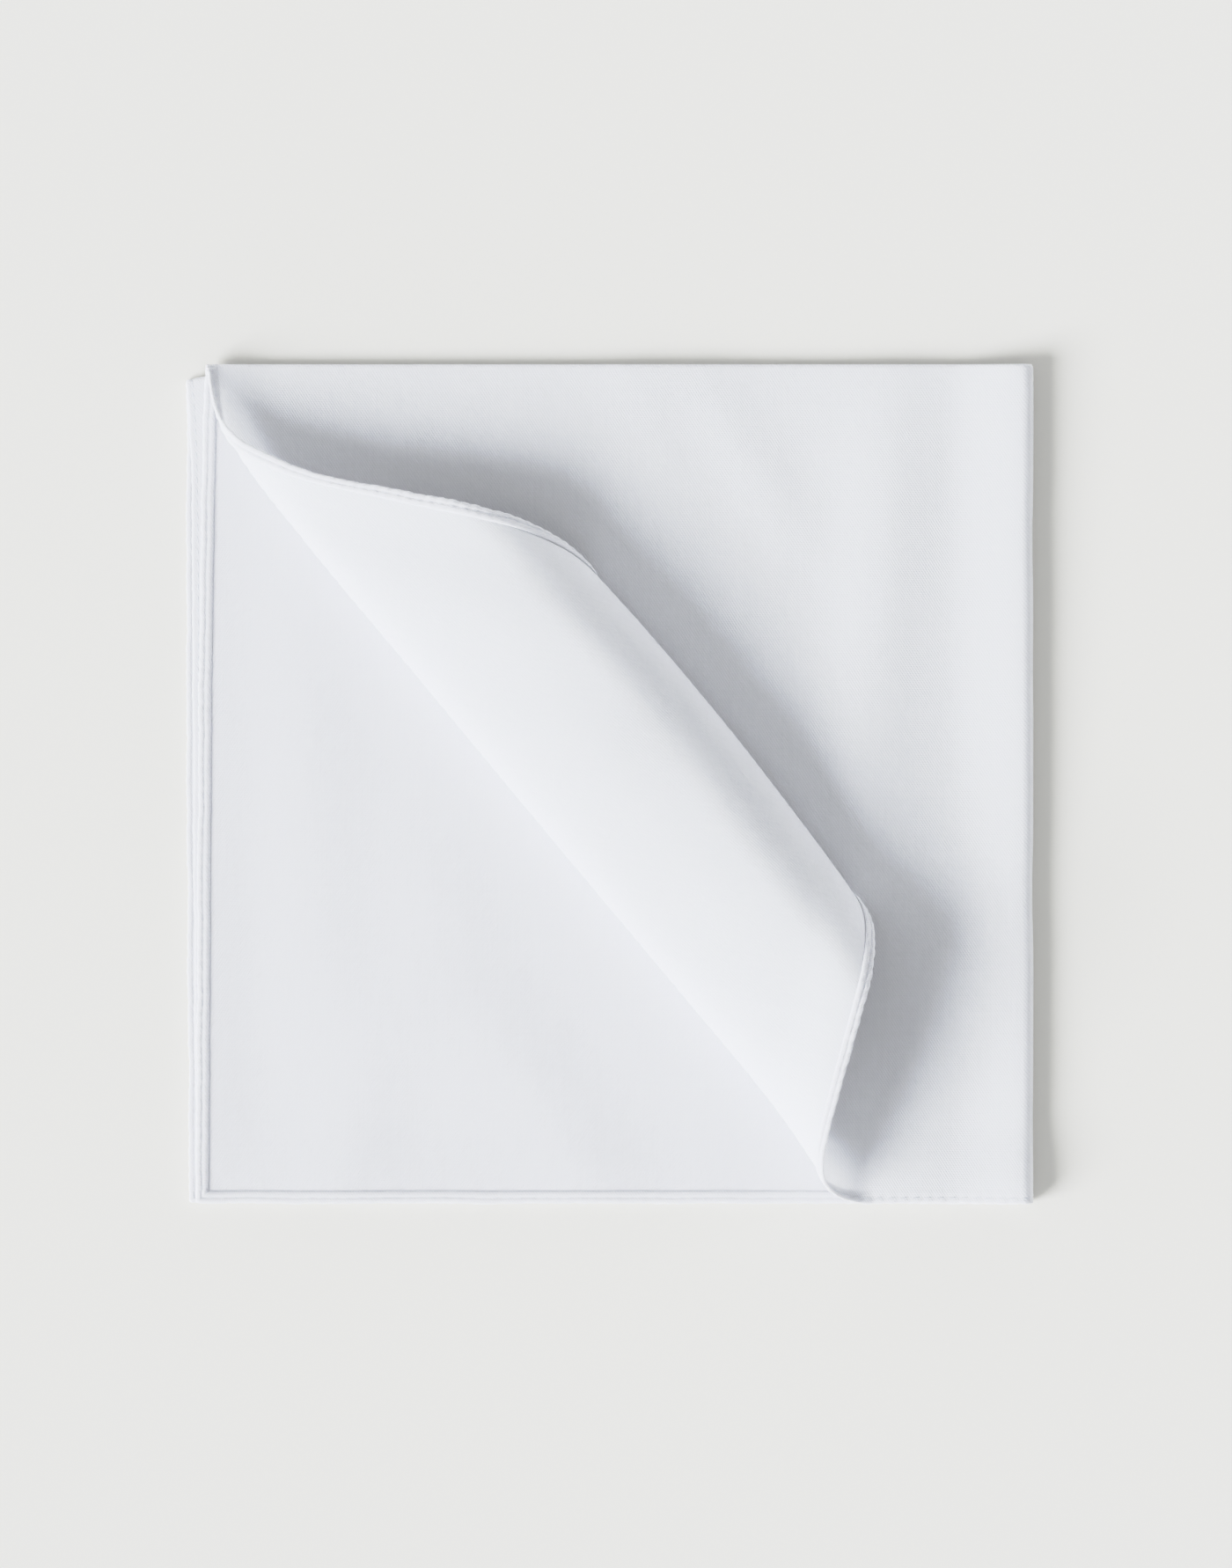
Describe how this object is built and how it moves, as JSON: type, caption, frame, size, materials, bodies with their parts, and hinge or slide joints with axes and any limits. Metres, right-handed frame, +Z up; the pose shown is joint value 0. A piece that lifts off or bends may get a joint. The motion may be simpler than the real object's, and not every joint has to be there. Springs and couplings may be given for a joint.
{
  "type": "pocket square",
  "caption": "Hemmed white cotton square folded into a smaller square, its free corner rolled back; it goes in a jacket's breast pocket.",
  "frame": {"origin": "on the surface that the cloth lies on, in the middle of its outline", "axes": "+X towards the last fold, +Y towards the first fold, +Z up from the surface"},
  "size_m": [0.1665, 0.1652, 0.0254],
  "materials": {
    "white_cotton": "fine white cotton twill, matt"
  },
  "bodies": {
    "root": {"cotton_square": "white_cotton"}
  },
  "joints": []
}
